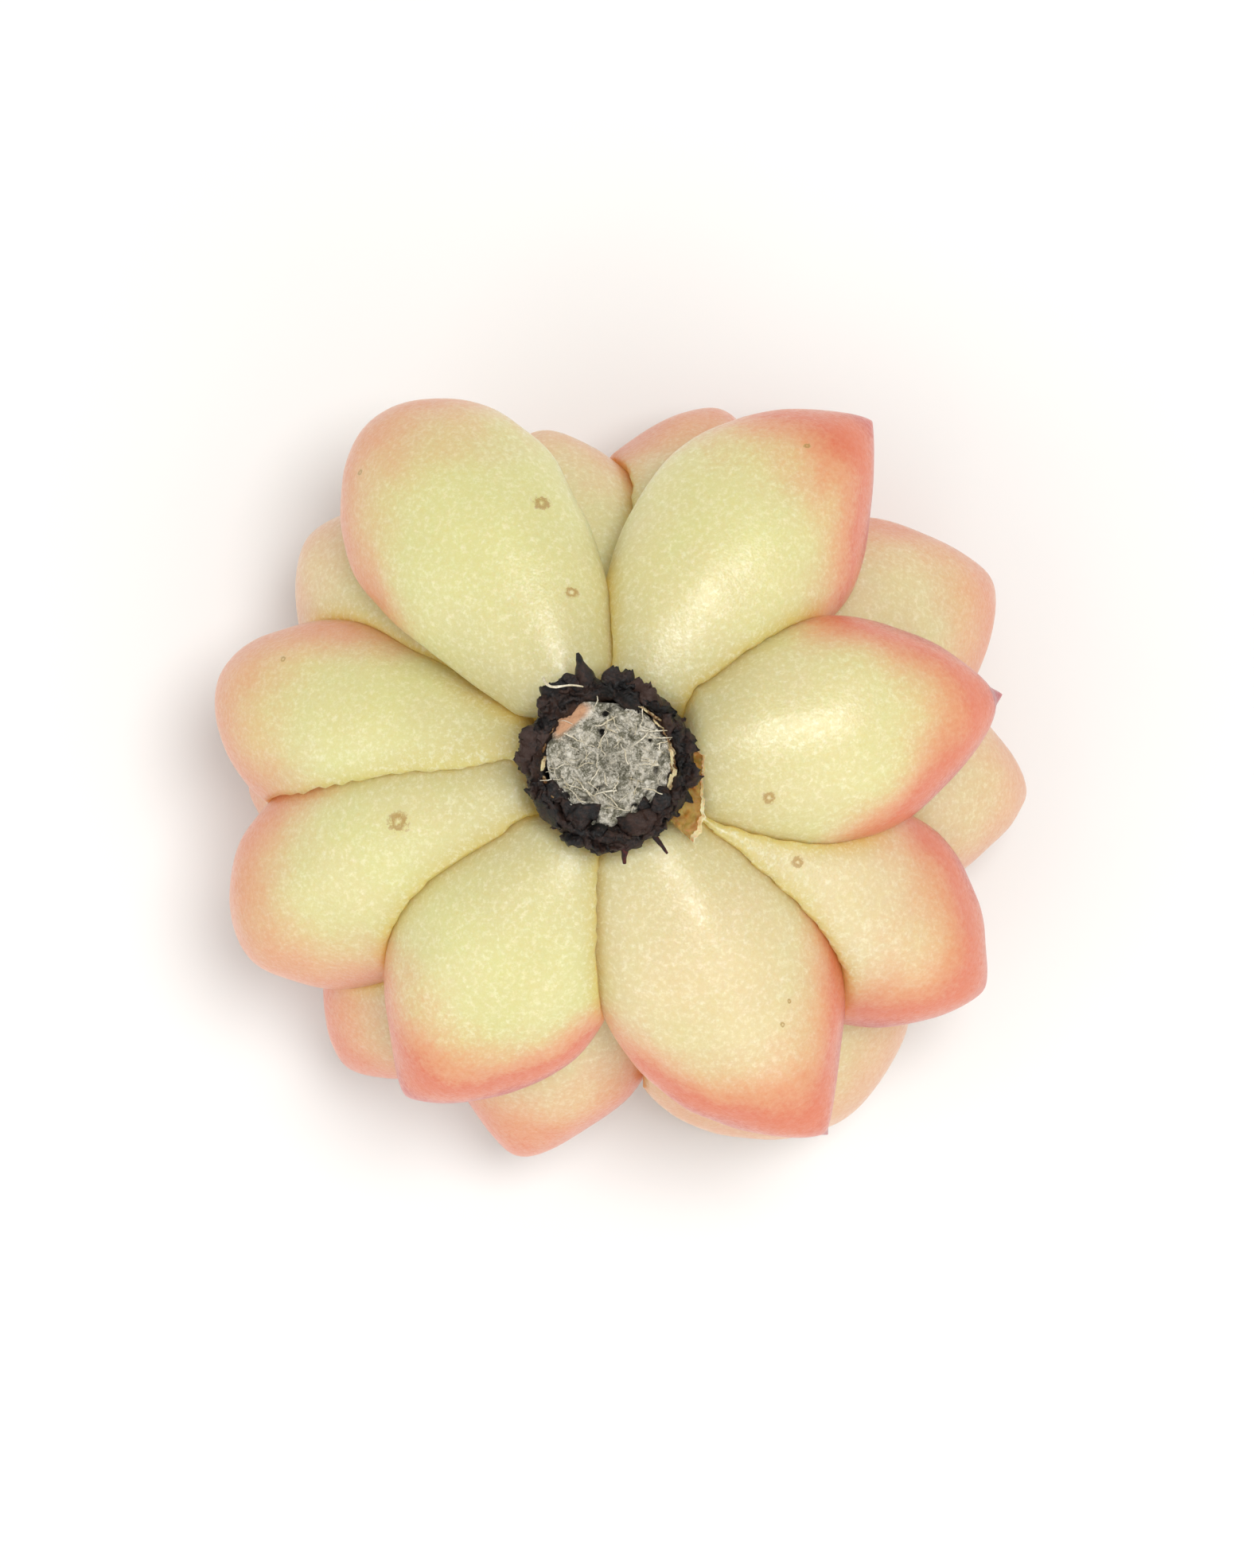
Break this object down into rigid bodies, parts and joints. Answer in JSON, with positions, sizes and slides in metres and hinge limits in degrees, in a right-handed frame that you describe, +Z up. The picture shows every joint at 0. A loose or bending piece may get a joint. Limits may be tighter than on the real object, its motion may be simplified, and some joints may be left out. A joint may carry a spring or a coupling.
{
  "type": "cut echeveria rosette",
  "caption": "Cut echeveria rosette lying face down, with plump peach-tipped leaves around its cut stem.",
  "frame": {"origin": "on the table, under the middle of the rosette's bounding box", "axes": "+Z up, from the leaf tips that touch the table to the cut face of the stem; +X to the right and +Y away in the reference view from above"},
  "size_m": [0.06, 0.0558, 0.0352],
  "materials": {
    "leaf_skin": "waxy satin skin over translucent flesh, cream green with coral margins",
    "young_leaf_skin": "waxy satin skin over translucent flesh, pale green with a pink tip",
    "stem_pith": "matte, spongy, fibrous cut face",
    "dead_bark": "dark crinkled flakes with a slight gloss",
    "dry_husk": "thin translucent papery tan",
    "dry_root": "matte shrivelled root stubs"
  },
  "bodies": {
    "root": {"bark_collar": "dead_bark", "leaf_husk": "dry_husk", "outer_leaf_1": "leaf_skin", "outer_leaf_2": "leaf_skin", "outer_leaf_3": "leaf_skin", "outer_leaf_4": "leaf_skin", "outer_leaf_5": "leaf_skin", "outer_leaf_6": "leaf_skin", "outer_leaf_7": "leaf_skin", "outer_leaf_8": "leaf_skin", "root_stub_1": "dry_root", "root_stub_2": "dry_root", "root_stub_3": "dry_root", "second_leaf_1": "leaf_skin", "second_leaf_2": "leaf_skin", "second_leaf_3": "leaf_skin", "second_leaf_4": "leaf_skin", "second_leaf_5": "leaf_skin", "second_leaf_6": "leaf_skin", "second_leaf_7": "leaf_skin", "second_leaf_8": "leaf_skin", "second_leaf_9": "leaf_skin", "stem": "stem_pith", "young_leaf_1": "young_leaf_skin", "young_leaf_10": "young_leaf_skin", "young_leaf_11": "young_leaf_skin", "young_leaf_12": "young_leaf_skin", "young_leaf_13": "young_leaf_skin", "young_leaf_14": "young_leaf_skin", "young_leaf_15": "young_leaf_skin", "young_leaf_16": "young_leaf_skin", "young_leaf_17": "young_leaf_skin", "young_leaf_18": "young_leaf_skin", "young_leaf_2": "young_leaf_skin", "young_leaf_3": "young_leaf_skin", "young_leaf_4": "young_leaf_skin", "young_leaf_5": "young_leaf_skin", "young_leaf_6": "young_leaf_skin", "young_leaf_7": "young_leaf_skin", "young_leaf_8": "young_leaf_skin", "young_leaf_9": "young_leaf_skin"}
  },
  "joints": []
}
